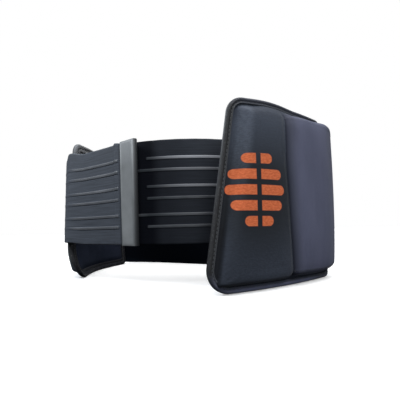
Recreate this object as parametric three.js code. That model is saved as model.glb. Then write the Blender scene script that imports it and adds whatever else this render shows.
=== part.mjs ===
// Kidney belt: two bound foam side pads, a wide back panel sewn over the rear of both pads, and two ribbed
// elastic straps that overlap at the front. It is fastened into a loop and stands on its lower edges.
// Millimetres, +Z up, the wearer faces -Y, and left and right are the wearer's.
import * as THREE from "three";

// Driving dimensions of one side pad, laid flat: u runs along its foot from the front, z is height
const PAD = {
  height: 165.7,
  foot: 162.5,
  frontLean: 26.8, // how far the front edge leans back at the top
  rearLean: 14.1, // how far the rear edge leans forward at the top
  bow: 8.3, // how far the pad bulges outwards between its ends
  flange: 2.8, // thickness of the flat rim
  cornerRadius: { frontFoot: 20, rearFoot: 6, rearTop: 8, frontTop: 16 },
};
const BINDING = { width: 8, tape: 1, gap: 0.4, nose: 1.7 };
const STRAP = { width: 100, thickness: 2.4, bottom: 40.6 };
const RIB = { width: 2.4, crest: 1.3, height: 0.8, flat: 0.05 };
const PANEL = { thickness: 2, flare: 2.5 };
const TAB = { width: 20.5, tape: 1.1, gap: 0.3, overhang: 0.5 };
const HEM = { width: 6, rise: 0.8 };
const HOOK = { thickness: 2, width: 80 };

// Where each pad's front foot corner stands, the way its foot runs from there before the loop is centred, and how
// far that corner curls in. The left pad is the right one mirrored, so its angle is the one seen in the mirror.
const PADS = {
  right: { x: -92.7, y: -84.4, angle: THREE.MathUtils.degToRad(113.4), curl: 15.5 },
  left: { x: 89, y: -91.1, angle: THREE.MathUtils.degToRad(115.4), curl: 0 },
};
const CURL = { along: 97, up: 41.5 }; // how far a curl reaches along the foot and up the front edge
const LOOP_CENTRE = { x: 0.2, y: 9.2 };

// Height of each rib's middle above the strap's lower edge, and whether it runs on under the other strap
const RIBS = [
  { at: 17.4, long: false },
  { at: 28.6, long: true },
  { at: 44.4, long: false },
  { at: 55.6, long: false },
  { at: 71.4, long: true },
  { at: 82.6, long: false },
];

// Profile of a pad from the middle of its outer face, over its rim, to the middle of its inner face
const PAD_PROFILE = [
  { inset: 50, offset: 12.7 },
  { inset: 40, offset: 12.2 },
  { inset: 23, offset: 10.5 },
  { inset: 16, offset: 8.3 },
  { inset: 12, offset: 5 },
  { inset: 9.4, offset: 1.4 },
  { inset: 1.9, offset: 1.4 },
  { inset: 1.9, offset: -1.4 },
  { inset: 9.4, offset: -1.4 },
  { inset: 14.5, offset: -3 },
  { inset: 50, offset: -4 },
];
const PAD_CROWN = { outer: 13, inner: -4.1 };

// Middle line of the outer strap, from the right pad's face round its front edge to the free end. Each row is a
// place on a pad (u, and the offset from the middle of its rim) or a place in plan (x, y), and lean is how far
// the strap moves back along the right pad's foot for each mm of height, to follow the pad's leaning edge.
const OUTER_STRAP_PATH = [
  { pad: "right", u: 78, offset: 15.2, lean: 0 },
  { pad: "right", u: 62, offset: 15, lean: 0.02 },
  { pad: "right", u: 46, offset: 14.2, lean: 0.05 },
  { pad: "right", u: 33, offset: 12.3, lean: 0.08 },
  { pad: "right", u: 22, offset: 8.8, lean: 0.08 },
  { pad: "right", u: 11, offset: 4.8, lean: 0.08 },
  { x: -98.5, y: -79.6, lean: 0.08 },
  { x: -92, y: -81.2, lean: 0.07 },
  { x: -83, y: -81.2, lean: 0.05 },
  { x: -68, y: -80.6, lean: 0.02 },
  { x: -50, y: -80.7, lean: 0 },
  { x: -28, y: -82.3, lean: 0 },
  { x: -7, y: -84.4, lean: 0 },
  { x: 15, y: -86.5, lean: 0 },
];

// Middle line of the under strap, from its end under the outer strap to the left pad's inner face
const UNDER_STRAP_PATH = [
  { x: -58, y: -75.1 },
  { x: -40, y: -75.9 },
  { x: -22, y: -77.3 },
  { x: -5, y: -78.6 },
  { x: 10.8, y: -78.2 },
  { x: 29, y: -72.5 },
  { x: 47, y: -64.3 },
  { x: 66, y: -52 },
  { x: 83, y: -36.8 },
  { x: 104, y: -17.5 },
  { x: 122, y: -1 },
  { pad: "left", u: 117, offset: -7.8 },
  { pad: "left", u: 127, offset: -7.2 },
  { pad: "left", u: 137, offset: -7 },
  { pad: "left", u: 147, offset: -7 },
];
const RIB_START = { short: 19.5, long: -3 }; // x where the ribs begin on the under strap

// Back panel sections: where they are, the heights of the panel's two edges, how far its edges are drawn in onto
// the pad's rim (0 to 1), and how far the section slides towards the panel's end for each mm of height
const PANEL_SECTIONS = [
  { pad: "left", u: 81.5, offset: 15, low: 9, high: 158, drawn: 1, lean: 0.07 },
  { pad: "left", u: 94, offset: 15.2, low: 8.6, high: 158.6, drawn: 1, lean: 0.06 },
  { pad: "left", u: 107, offset: 15.2, low: 8.2, high: 159.2, drawn: 1, lean: 0.045 },
  { pad: "left", u: 122, offset: 15, low: 7.8, high: 159.8, drawn: 1, lean: 0.03 },
  { pad: "left", u: 136, offset: 14.4, low: 8, high: 160, drawn: 0.9, lean: 0.015 },
  { pad: "left", u: 149, offset: 11.8, low: 9.2, high: 160, drawn: 0.62, lean: 0 },
  { x: 166.4, y: 57, low: 10.4, high: 160.6, drawn: 0.45, lean: 0 },
  { x: 163.4, y: 72.5, low: 9, high: 160, drawn: 0.42, lean: 0 },
  { x: 151, y: 86, low: 5, high: 159, drawn: 0.2, lean: 0 },
  { x: 118, y: 95.5, low: 0.7, high: 158, drawn: 0, lean: 0 },
  { x: 62, y: 102, low: 0, high: 157, drawn: 0, lean: 0 },
  { x: 3, y: 104, low: 0, high: 157, drawn: 0, lean: 0 },
  { x: -56, y: 103, low: 0, high: 157, drawn: 0, lean: 0 },
  { x: -112, y: 98.5, low: 0.7, high: 158, drawn: 0, lean: 0 },
  { x: -147, y: 91, low: 5, high: 159, drawn: 0.2, lean: 0 },
  { x: -161.5, y: 79.5, low: 9, high: 160, drawn: 0.42, lean: 0 },
  { x: -166, y: 65.5, low: 10.4, high: 160.6, drawn: 0.45, lean: 0 },
  { pad: "right", u: 149, offset: 11.8, low: 9.2, high: 160, drawn: 0.62, lean: 0 },
  { pad: "right", u: 136, offset: 14.4, low: 8, high: 160, drawn: 0.9, lean: -0.015 },
  { pad: "right", u: 122, offset: 15, low: 7.8, high: 159.8, drawn: 1, lean: -0.03 },
  { pad: "right", u: 107, offset: 15.2, low: 8.2, high: 159.2, drawn: 1, lean: -0.045 },
  { pad: "right", u: 95, offset: 15.2, low: 8.6, high: 158.6, drawn: 1, lean: -0.06 },
  { pad: "right", u: 83, offset: 15, low: 9, high: 158, drawn: 1, lean: -0.07 },
];
// How far the panel is drawn in at each distance from its edge
const PANEL_EDGE = [
  { from: 0, in: 10.5 },
  { from: 4, in: 5.2 },
  { from: 8, in: 3.3 },
  { from: 18, in: 1.8 },
  { from: 38, in: 0.5 },
];

const HOOK_PATH = [
  { x: -50, y: -78.1 },
  { x: -31, y: -79.2 },
  { x: -12, y: -80.9 },
];

// A closed skin over rings of points, all with the same count. The ends are joined to each other, drawn to a
// point, or closed by the flat outline given for them.
function skin(rings, ends) {
  const count = rings[0].length;
  const points = rings.flat();
  const index = [];
  const bands = ends.joined ? rings.length : rings.length - 1;
  for (let i = 0; i < bands; i++) {
    const here = i * count;
    const next = ((i + 1) % rings.length) * count;
    for (let j = 0; j < count; j++) {
      const k = (j + 1) % count;
      index.push(here + j, here + k, next + k, here + j, next + k, next + j);
    }
  }
  const last = (rings.length - 1) * count;
  if (ends.points) {
    points.push(...ends.points);
    for (let j = 0; j < count; j++) {
      const k = (j + 1) % count;
      index.push(points.length - 2, k, j, points.length - 1, last + j, last + k);
    }
  }
  if (ends.outlines) {
    const [first, final] = ends.outlines.map((outline) => THREE.ShapeUtils.triangulateShape(outline, []));
    for (const [a, b, c] of first) index.push(a, c, b);
    for (const [a, b, c] of final) index.push(last + a, last + b, last + c);
  }
  return facingOut(points, index);
}

// Points and triangles as a geometry whose faces point out, whichever way the rings ran
function facingOut(points, index) {
  let volume = 0;
  for (let i = 0; i < index.length; i += 3) {
    const [a, b, c] = [points[index[i]], points[index[i + 1]], points[index[i + 2]]];
    volume += a.dot(new THREE.Vector3().crossVectors(b, c));
  }
  const faces = volume > 0 ? index : index.toReversed();
  const geometry = new THREE.BufferGeometry().setFromPoints(points).setIndex(faces);
  geometry.computeVertexNormals();
  return geometry;
}

// A pad's outline at a distance in from its outer edge, as [u, z] points that match from one inset to the next
function padOutline(inset) {
  const { height, foot, frontLean, rearLean, cornerRadius } = PAD;
  const corners = [
    { at: new THREE.Vector2(0, 0), radius: cornerRadius.frontFoot },
    { at: new THREE.Vector2(foot, 0), radius: cornerRadius.rearFoot },
    { at: new THREE.Vector2(foot - rearLean, height), radius: cornerRadius.rearTop },
    { at: new THREE.Vector2(frontLean, height), radius: cornerRadius.frontTop },
  ];
  const edgeSteps = [8, 6, 8, 6];
  const arcSteps = 5;
  const softening = 0.3; // smallest corner radius for each mm of inset, so that the crown has no hips
  const arcs = corners.map(({ at, radius }, i) => {
    const back = corners[(i + 3) % 4].at.clone().sub(at).normalize();
    const ahead = corners[(i + 1) % 4].at.clone().sub(at).normalize();
    const half = Math.acos(back.dot(ahead)) / 2;
    const inward = back.clone().add(ahead).normalize();
    const rounded = Math.max(radius - inset, softening * inset);
    const middle = at.clone().addScaledVector(inward, (inset + rounded) / Math.sin(half));
    const turn = Math.PI - 2 * half;
    const start = Math.atan2(-inward.y, -inward.x) - turn / 2;
    return Array.from({ length: arcSteps + 1 }, (_, k) => {
      const angle = start + (turn * k) / arcSteps;
      return new THREE.Vector2(middle.x + rounded * Math.cos(angle), middle.y + rounded * Math.sin(angle));
    });
  });
  return arcs.flatMap((arc, i) => {
    const from = arc[arcSteps];
    const to = arcs[(i + 1) % 4][0];
    const edge = Array.from({ length: edgeSteps[i] - 1 }, (_, k) => from.clone().lerp(to, (k + 1) / edgeSteps[i]));
    return [...arc, ...edge];
  });
}

// A place on a bowed pad in the pad's own frame: x along its foot, y outwards, z up
function onBow(u, z, offset, curl = 0) {
  const share = (2 * u) / PAD.foot - 1;
  const slope = (-4 * PAD.bow * share) / PAD.foot;
  const length = Math.hypot(slope, 1);
  const curled = curl * Math.max(1 - u / CURL.along, 0) ** 1.5 * Math.max(1 - z / CURL.up, 0) ** 1.7;
  return new THREE.Vector3(u - (offset * slope) / length, PAD.bow * (1 - share * share) + offset / length - curled, z);
}

function padRings(profile, curl) {
  return profile.map(({ inset, offset }) => padOutline(inset).map(({ x, y }) => onBow(x, y, offset, curl)));
}

function padBody(curl) {
  const middle = { u: (PAD.foot + PAD.frontLean - PAD.rearLean) / 2, z: PAD.height / 2 };
  const points = [PAD_CROWN.outer, PAD_CROWN.inner].map((offset) => onBow(middle.u, middle.z, offset));
  return skin(padRings(PAD_PROFILE, curl), { points });
}

// Tape folded round the pad's rim: a channel in section, with a flat nose that the pad stands on
function padBinding(curl) {
  const slot = PAD.flange / 2 + BINDING.gap;
  const outside = slot + BINDING.tape;
  const slotDepth = 1.6;
  const shoulder = 1.2;
  const half = [
    { inset: slotDepth, offset: slot },
    { inset: BINDING.width, offset: slot },
    { inset: BINDING.width, offset: outside - 0.3 },
    { inset: BINDING.width - shoulder, offset: outside },
    { inset: shoulder, offset: outside },
    { inset: 0, offset: BINDING.nose },
  ];
  const mirrored = half.map(({ inset, offset }) => ({ inset, offset: -offset })).reverse();
  return skin(padRings([...half, ...mirrored], curl), { joined: true });
}

// A place on a bowed pad, turned into the belt's plan
function planPlace(row) {
  if (!row.pad) return row;
  const { x, y, angle } = PADS[row.pad];
  const local = onBow(row.u, 0, row.offset);
  const turned = local.applyAxisAngle(new THREE.Vector3(0, 0, 1), angle);
  return { ...row, x: x + (row.pad === "right" ? turned.x : -turned.x), y: y + turned.y };
}

// Stations along a smooth curve through every row of a table, with the named columns carried along
function along(rows, columns, stepsPerRow) {
  const placed = rows.map(planPlace);
  const names = ["x", "y", ...columns];
  const curves = names.map(
    (name) => new THREE.CatmullRomCurve3(placed.map((row, i) => new THREE.Vector3(row[name], i, 0)), false, "catmullrom"),
  );
  const at = (share) => Object.fromEntries(names.map((name, c) => [name, curves[c].getPoint(share).x]));
  const steps = (rows.length - 1) * stepsPerRow;
  return Array.from({ length: steps + 1 }, (_, i) => {
    const [ahead, back] = [at(Math.min(i / steps + 1e-3, 1)), at(Math.max(i / steps - 1e-3, 0))];
    const way = new THREE.Vector2(ahead.x - back.x, ahead.y - back.y).normalize();
    return { ...at(i / steps), way, outward: new THREE.Vector2(way.y, -way.x) };
  });
}

// The same stations with two more, close together, where the line passes x, so that a step there is short
function splitAt(stations, x) {
  const gap = 0.4;
  const i = stations.findIndex((station, k) => k > 0 && stations[k - 1].x < x && station.x >= x);
  const [before, after] = [stations[i - 1], stations[i]];
  const extra = [x - gap, x + gap].map((stop) => {
    const share = (stop - before.x) / (after.x - before.x);
    return {
      ...before,
      x: stop,
      y: THREE.MathUtils.lerp(before.y, after.y, share),
      way: before.way.clone().lerp(after.way, share).normalize(),
      outward: before.outward.clone().lerp(after.outward, share).normalize(),
    };
  });
  return [...stations.slice(0, i), ...extra, ...stations.slice(i)];
}

// A wall swept along plan stations. section(station, i) gives its outline there as {offset, z} points, where a
// slide moves a point along the line and a shift moves it in plan.
function wall(stations, section) {
  const outlines = stations.map(section);
  const rings = stations.map(({ x, y, way, outward }, i) =>
    outlines[i].map(({ offset, z, slide = 0, shift = new THREE.Vector2() }) => {
      const place = new THREE.Vector2(x, y).addScaledVector(outward, offset).addScaledVector(way, slide).add(shift);
      return new THREE.Vector3(place.x, place.y, z);
    }),
  );
  const flat = [outlines[0], outlines.at(-1)].map((outline) => outline.map((p) => new THREE.Vector2(p.offset, p.z)));
  return skin(rings, { outlines: flat });
}

// Outline of a ribbed strap. rise(rib) is the height of a rib there, and hem the extra thickness of the cloth.
function strapOutline(rise, hem) {
  const half = STRAP.thickness / 2;
  const [low, high] = [STRAP.bottom, STRAP.bottom + STRAP.width];
  const ribs = RIBS.flatMap((rib) => {
    const z = low + rib.at;
    const crest = half + hem + rise(rib);
    return [
      { offset: half + hem, z: z - RIB.width / 2 },
      { offset: crest, z: z - RIB.crest / 2 },
      { offset: crest, z: z + RIB.crest / 2 },
      { offset: half + hem, z: z + RIB.width / 2 },
    ];
  });
  return [
    { offset: -half, z: high },
    { offset: -half, z: low },
    { offset: half + hem, z: low },
    ...ribs,
    { offset: half + hem, z: high },
  ];
}

function outerStrap() {
  const tabStart = OUTER_STRAP_PATH.at(-1).x - TAB.width;
  const hem = { from: tabStart - HEM.width, to: tabStart - 1 };
  const middle = STRAP.bottom + STRAP.width / 2;
  const back = new THREE.Vector2(Math.cos(PADS.right.angle), Math.sin(PADS.right.angle));
  const stations = [hem.from, hem.to].reduce(splitAt, along(OUTER_STRAP_PATH, ["lean"], 2));
  return wall(stations, ({ x, lean }, i) => {
    const ribbed = x < hem.from && i > 0;
    const hemmed = x > hem.from && x < hem.to;
    const outline = strapOutline(() => (ribbed ? RIB.height : RIB.flat), hemmed ? HEM.rise : 0);
    return outline.map((p) => ({ ...p, shift: back.clone().multiplyScalar(lean * (p.z - middle)) }));
  });
}

function underStrap() {
  const stations = [RIB_START.long, RIB_START.short].reduce(splitAt, along(UNDER_STRAP_PATH, [], 2));
  return wall(stations, ({ x }, i) => {
    const ribbed = (rib) => x > (rib.long ? RIB_START.long : RIB_START.short) && i < stations.length - 1;
    return strapOutline((rib) => (ribbed(rib) ? RIB.height : RIB.flat), 0);
  });
}

function backPanel() {
  const half = PANEL.thickness / 2;
  const stations = along(PANEL_SECTIONS, ["low", "high", "drawn", "lean"], 2);
  return wall(stations, ({ low, high, drawn, lean }) => {
    const foot = Math.max(low, 0);
    const middle = (foot + high) / 2;
    const rows = [
      ...PANEL_EDGE.map((edge) => ({ z: foot + edge.from, in: edge.in })),
      { z: middle, in: 0 },
      ...PANEL_EDGE.map((edge) => ({ z: high - edge.from, in: edge.in })).reverse(),
    ];
    const flare = (z) => (PANEL.flare * (1 - drawn) * (middle - z)) / (middle - foot);
    const pull = (z) => (z < middle ? drawn : drawn ** 3); // the top edge stands freer round the back's corners
    const face = (side) =>
      rows.map((row) => ({
        offset: flare(row.z) - pull(row.z) * row.in + side * half,
        z: row.z,
        slide: lean * (middle - row.z),
      }));
    return [...face(1), ...face(-1).reverse()];
  });
}

function hookPatch() {
  const half = HOOK.thickness / 2;
  const low = STRAP.bottom + (STRAP.width - HOOK.width) / 2;
  const high = low + HOOK.width;
  return wall(along(HOOK_PATH, [], 2), () => [
    { offset: half, z: low },
    { offset: half, z: high },
    { offset: -half, z: high },
    { offset: -half, z: low },
  ]);
}

// Tape folded over the outer strap's free end, drawn in plan with x along the strap and the end at x = 0
function gripTab() {
  const slot = STRAP.thickness / 2 + TAB.gap;
  const outside = slot + TAB.tape;
  const shape = new THREE.Shape();
  shape.moveTo(-TAB.width, slot);
  shape.lineTo(-TAB.width, outside);
  shape.lineTo(TAB.gap + TAB.tape - outside, outside);
  shape.absarc(TAB.gap + TAB.tape - outside, 0, outside, Math.PI / 2, -Math.PI / 2, true);
  shape.lineTo(-TAB.width, -outside);
  shape.lineTo(-TAB.width, -slot);
  shape.lineTo(TAB.gap, -slot);
  shape.lineTo(TAB.gap, slot);
  const depth = STRAP.width + 2 * TAB.overhang;
  return new THREE.ExtrudeGeometry(shape, { depth, bevelEnabled: false, curveSegments: 6 });
}

const FINISHES = {
  padCover: { color: 0x2b2d33, roughness: 0.95, metalness: 0 },
  bindingTape: { color: 0x3a3b3f, roughness: 0.8, metalness: 0 },
  panelCloth: { color: 0x4b4c5a, roughness: 0.6, metalness: 0 },
  strapElastic: { color: 0x2a2c30, roughness: 0.85, metalness: 0 },
  tabTape: { color: 0x7d8084, roughness: 0.75, metalness: 0 },
  hookTape: { color: 0x17181a, roughness: 0.95, metalness: 0 },
};

function piece(name, geometry, finish) {
  const mesh = new THREE.Mesh(geometry, new THREE.MeshStandardMaterial(finish));
  mesh.name = name;
  return mesh;
}

// One side's pad in its binding. The left side is built as the right one and mirrored.
function sidePad(side) {
  const { x, y, angle, curl } = PADS[side];
  const mirror = side === "left" ? -1 : 1;
  const group = new THREE.Group();
  group.position.set(mirror * x, y, 0);
  group.rotation.z = angle;
  group.add(piece(`${side}_pad`, padBody(curl), FINISHES.padCover));
  group.add(piece(`${side}_binding`, padBinding(curl), FINISHES.bindingTape));
  const stand = new THREE.Group();
  stand.scale.x = mirror;
  stand.add(group);
  return stand;
}

function tabOnStrap() {
  const [before, end] = OUTER_STRAP_PATH.slice(-2);
  const tab = piece("grip_tab", gripTab(), FINISHES.tabTape);
  tab.position.set(end.x, end.y, STRAP.bottom - TAB.overhang);
  tab.rotation.z = Math.atan2(end.y - before.y, end.x - before.x);
  return tab;
}

const belt = new THREE.Group();
belt.position.set(-LOOP_CENTRE.x, -LOOP_CENTRE.y, 0);
belt.add(sidePad("left"));
belt.add(sidePad("right"));
belt.add(piece("back_panel", backPanel(), FINISHES.panelCloth));
belt.add(piece("under_strap", underStrap(), FINISHES.strapElastic));
belt.add(piece("outer_strap", outerStrap(), FINISHES.strapElastic));
belt.add(piece("hook_patch", hookPatch(), FINISHES.hookTape));
belt.add(tabOnStrap());

const part = new THREE.Group();
part.add(belt);
export default part;
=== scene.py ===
import math

import bpy
import numpy as np
from mathutils import Euler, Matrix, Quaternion, Vector


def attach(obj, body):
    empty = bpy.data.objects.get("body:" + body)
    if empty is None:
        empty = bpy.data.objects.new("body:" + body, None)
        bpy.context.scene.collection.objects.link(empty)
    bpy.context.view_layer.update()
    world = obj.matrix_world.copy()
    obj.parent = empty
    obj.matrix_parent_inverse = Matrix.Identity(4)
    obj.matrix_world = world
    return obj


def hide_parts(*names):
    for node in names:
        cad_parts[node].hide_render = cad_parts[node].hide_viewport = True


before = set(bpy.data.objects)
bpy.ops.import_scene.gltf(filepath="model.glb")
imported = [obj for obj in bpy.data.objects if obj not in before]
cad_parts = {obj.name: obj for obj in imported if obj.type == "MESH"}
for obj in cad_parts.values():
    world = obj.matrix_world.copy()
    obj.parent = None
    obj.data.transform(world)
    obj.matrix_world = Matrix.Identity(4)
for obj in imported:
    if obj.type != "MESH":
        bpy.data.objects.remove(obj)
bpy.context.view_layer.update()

# Studio: a pale floor that runs out to a white surround, broad soft light from the right, from above and from behind,
# smaller soft lights at the left and in front, and the camera at the photograph's place and with its lens.
bpy.ops.object.select_all(action="DESELECT")
bpy.ops.mesh.primitive_circle_add(vertices=96, radius=9, fill_type="NGON", location=(0, 0, -0.0002))
floor = bpy.context.active_object
floor.name = "floor"
floor_paint = bpy.data.materials.new("floor_paint")
floor_paint.use_nodes = True
floor_shader = floor_paint.node_tree.nodes["Principled BSDF"]
for socket, setting in (
    ("Base Color", (0.93, 0.93, 0.93, 1)),
    ("Roughness", 0.9),
    ("Specular IOR Level", 0.1),
    ("Emission Color", (1, 1, 1, 1)),
    ("Emission Strength", 0.25),
):
    floor_shader.inputs[socket].default_value = setting
floor.data.materials.append(floor_paint)
floor.visible_diffuse = False
floor.visible_glossy = False

for name, comes_from, strength, spread in (
    ("right_softbox", (0.5, -0.28, 0.8), 1.8, 40),
    ("top_softbox", (0.05, 0.1, 1), 1.6, 30),
    ("rear_softbox", (-0.5, 1, 0.3), 1.4, 40),
):
    light = bpy.data.objects.new(name, bpy.data.lights.new(name, "SUN"))
    light.rotation_euler = Vector(comes_from).to_track_quat("Z", "Y").to_euler()
    light.data.energy = strength
    light.data.angle = math.radians(spread)
    bpy.context.scene.collection.objects.link(light)

for name, place, aim, power, side in (
    ("left_softbox", (-0.3, -0.33, 0.42), (0.03, -0.08, 0.1), 2.2, 0.16),
    ("front_softbox", (0.12, -0.34, 0.42), (0.1, -0.08, 0.15), 0.42, 0.14),
    ("low_card", (0.42, -0.36, 0.03), (0.12, -0.02, 0.04), 0.5, 0.3),
):
    light = bpy.data.objects.new(name, bpy.data.lights.new(name, "AREA"))
    light.location = place
    light.rotation_euler = (Vector(place) - Vector(aim)).to_track_quat("Z", "Y").to_euler()
    light.data.energy = power
    light.data.size = side
    light.data.color = (0.9, 0.95, 1)
    light.visible_camera = False
    bpy.context.scene.collection.objects.link(light)


def node(tree, kind, inputs=None, **settings):
    """A node with its settings and inputs, which are values or the outputs of other nodes."""
    made = tree.nodes.new(kind)
    for name, setting in settings.items():
        setattr(made, name, setting)
    for name, given in (inputs or {}).items():
        if isinstance(given, bpy.types.NodeSocket):
            tree.links.new(given, made.inputs[name])
        else:
            made.inputs[name].default_value = given
    return made


surround = bpy.data.worlds.new("surround")
surround.use_nodes = True
sky = surround.node_tree
fill = sky.nodes["Background"]
fill.inputs["Color"].default_value = (0.88, 0.94, 1, 1)
upward = node(sky, "ShaderNodeSeparateXYZ", {0: node(sky, "ShaderNodeTexCoord").outputs["Generated"]}).outputs["Z"]
dim_below = {"Value": upward, "From Min": -0.2, "From Max": 1, "To Min": 0.01, "To Max": 0.26}
sky.links.new(node(sky, "ShaderNodeMapRange", dim_below).outputs[0], fill.inputs["Strength"])
white = node(sky, "ShaderNodeBackground", {"Color": (1, 1, 1, 1)})
seen = node(sky, "ShaderNodeLightPath").outputs["Is Camera Ray"]
either = node(sky, "ShaderNodeMixShader", {0: seen, 1: fill.outputs[0], 2: white.outputs[0]})
sky.links.new(either.outputs[0], sky.nodes["World Output"].inputs["Surface"])
bpy.context.scene.world = surround
bpy.context.scene.view_settings.view_transform = "Standard"

camera = bpy.data.objects.new("camera", bpy.data.cameras.new("camera"))
camera.data.sensor_width = 36
camera.data.lens = 26.84
camera.data.shift_x = -0.0018
camera.data.shift_y = 0.0748
camera.data.clip_start = 0.01
camera.location = (0.21236, -0.30413, 0.05376)
level = Euler((math.radians(90), 0, math.radians(31.36))).to_quaternion()
camera.rotation_euler = (level @ Quaternion((0, 0, 1), math.radians(-1.36))).to_euler()
bpy.context.scene.collection.objects.link(camera)
bpy.context.scene.camera = camera

# Side pads: two moulded foam shells, each a leaning four-sided plate with a crowned face and a thin flat rim. The
# outer face is laminated with dark heathered knit and carries a plain printed motif, the inner face with black lining.
LOOP_CENTRE = np.array([0.2, 9.2])
PAD_HEIGHT, PAD_FOOT, PAD_BOW = 165.7, 162.5, 8.3
FRONT_LEAN, REAR_LEAN = 26.8, 14.1
CURL_ALONG, CURL_UP = 97, 41.5
ARCH_RISE, ARCH_MIDDLE, ARCH_REACH = 1.8, 70, 32
PAD_PLACES = {
    "right": {"foot": (-92.7, -84.4), "angle": math.radians(113.4), "mirror": 1, "curl": 15.5},
    "left": {"foot": (89, -91.1), "angle": math.radians(115.4), "mirror": -1, "curl": 0},
}


def unit(vector):
    return vector / np.linalg.norm(vector, axis=-1, keepdims=True)


def run_of(points):
    """How far along a line of points each of them lies."""
    return np.concatenate([[0], np.cumsum(np.linalg.norm(np.diff(points, axis=0), axis=1))])


def eased(x, table):
    """A smooth curve with no overshoot through the (x, height) rows of a table."""
    xs, ys = np.array(table, float).T
    gap = np.diff(xs)
    slope = np.diff(ys) / gap
    lean = np.concatenate([slope[:1], np.zeros(len(xs) - 2), slope[-1:]])
    same = slope[1:] * slope[:-1] > 0
    lean[1:-1][same] = (2 * slope[1:] * slope[:-1])[same] / (slope[1:] + slope[:-1])[same]
    x = np.clip(np.asarray(x, float), xs[0], xs[-1])
    k = np.clip(np.searchsorted(xs, x) - 1, 0, len(gap) - 1)
    t = (x - xs[k]) / gap[k]
    rise = ys[k] * (1 + 2 * t) * (1 - t) ** 2 + ys[k + 1] * t * t * (3 - 2 * t)
    return rise + gap[k] * (lean[k] * t * (1 - t) ** 2 - lean[k + 1] * t * t * (1 - t))


def step_up(x, start, reach):
    """A smooth step from 0 to 1."""
    t = np.clip((x - start) / reach, 0, 1)
    return t * t * (3 - 2 * t)


def pad_outline(inset):
    """A pad's outline at a distance in from its edge, as flat (along, up) points that match from inset to inset."""
    corners = np.array([(0, 0), (PAD_FOOT, 0), (PAD_FOOT - REAR_LEAN, PAD_HEIGHT), (FRONT_LEAN, PAD_HEIGHT)], float)
    arcs = []
    for i, (radius, kept) in enumerate(((20, 6), (6, 4), (8, 5), (16, 8))):
        back, ahead = unit(corners[i - 1] - corners[i]), unit(corners[(i + 1) % 4] - corners[i])
        half = math.acos(back @ ahead) / 2
        inward = unit(back + ahead)
        rounded = max(radius - inset - max(inset - 6, 0), 0.3 * inset, kept * min(max(inset - 8, 0) / 4, 1))
        middle = corners[i] + inward * (inset + rounded) / math.sin(half)
        angles = math.atan2(-inward[1], -inward[0]) + (math.pi - 2 * half) * np.linspace(-0.5, 0.5, 15)
        arcs.append(middle + rounded * np.column_stack([np.cos(angles), np.sin(angles)]))
    runs = []
    for i, steps in enumerate((56, 48, 44, 48)):
        share = np.arange(1, steps)[:, None] / steps
        runs += [arcs[i], arcs[i][-1] + (arcs[(i + 1) % 4][0] - arcs[i][-1]) * share]
    return np.vstack(runs)


def on_pad(side, along, up, offset, curled=True):
    """Places on a bowed pad with an arched top, given along its foot, up and out from the middle of its rim."""
    place = PAD_PLACES[side]
    share = 2 * along / PAD_FOOT - 1
    slope = -4 * PAD_BOW * share / PAD_FOOT
    length = np.hypot(slope, 1)
    curl = place["curl"] * curled * np.clip(1 - along / CURL_ALONG, 0, None) ** 1.5
    curl = curl * np.clip(1 - up / CURL_UP, 0, None) ** 1.7
    arch = ARCH_RISE * np.clip(1 - ((along - ARCH_MIDDLE) / ARCH_REACH) ** 2, 0, None) ** 1.5 * step_up(up, 60, 105)
    x = along - offset * slope / length
    y = PAD_BOW * (1 - share**2) + offset / length - curl
    c, s = math.cos(place["angle"]), math.sin(place["angle"])
    turned = np.stack([place["mirror"] * (c * x - s * y), s * x + c * y], -1)
    plan = turned + np.array(place["foot"]) - LOOP_CENTRE
    return np.concatenate([plan, np.broadcast_to(up + arch, plan.shape[:-1])[..., None]], -1)


def grid_faces(index, flat):
    """Four-cornered faces of a grid of point numbers, with the cloth's flat place at each corner."""
    corners = [index[:-1, :-1], index[1:, :-1], index[1:, 1:], index[:-1, 1:]]
    places = [flat[:-1, :-1], flat[1:, :-1], flat[1:, 1:], flat[:-1, 1:]]
    return np.stack(corners, -1).reshape(-1, 4), np.stack(places, -2).reshape(-1, 4, 2)


def sewn_piece(name, points, patches, finishes):
    """A closed piece from points in mm and patches of (faces, flat places, finish number), facing outwards."""
    volume = 0
    for faces, _, _ in patches:
        for k in range(1, faces.shape[1] - 1):
            a, b, c = points[faces[:, 0]], points[faces[:, k]], points[faces[:, k + 1]]
            volume += np.sum(a * np.cross(b, c))
    step = 1 if volume > 0 else -1
    mesh = bpy.data.meshes.new(name)
    mesh.from_pydata((points * 0.001).tolist(), [], [f for faces, _, _ in patches for f in faces[:, ::step].tolist()])
    flat = np.concatenate([places[:, ::step].reshape(-1, 2) for _, places, _ in patches])
    mesh.uv_layers.new(name="cloth").data.foreach_set("uv", flat.ravel())
    numbers = np.concatenate([np.full(len(faces), number) for faces, _, number in patches])
    mesh.polygons.foreach_set("material_index", numbers)
    mesh.polygons.foreach_set("use_smooth", np.ones(len(numbers), bool))
    for finish in finishes:
        mesh.materials.append(finish)
    mesh.update()
    made = bpy.data.objects.new(name, mesh)
    bpy.context.scene.collection.objects.link(made)
    return made


def colour(red, green, blue):
    """A screen colour, 0 to 255, as the shader takes it."""
    return [(c / 255 / 12.92 if c < 10.4 else ((c / 255 + 0.055) / 1.055) ** 2.4) for c in (red, green, blue)] + [1]


def sum_of(tree, operation, *given):
    return node(tree, "ShaderNodeMath", dict(enumerate(given)), operation=operation).outputs[0]


def parts(tree, place):
    return node(tree, "ShaderNodeSeparateXYZ", {0: place}).outputs


def times(tree, first, second):
    return sum_of(tree, "MULTIPLY", first, second)


def mixed(tree, share, low, high):
    """A colour between two, each a screen colour or the output of another node."""
    low, high = (colour(*given) if isinstance(given, tuple) else given for given in (low, high))
    return node(tree, "ShaderNodeMix", {0: share, 6: low, 7: high}, data_type="RGBA").outputs[2]


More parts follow.
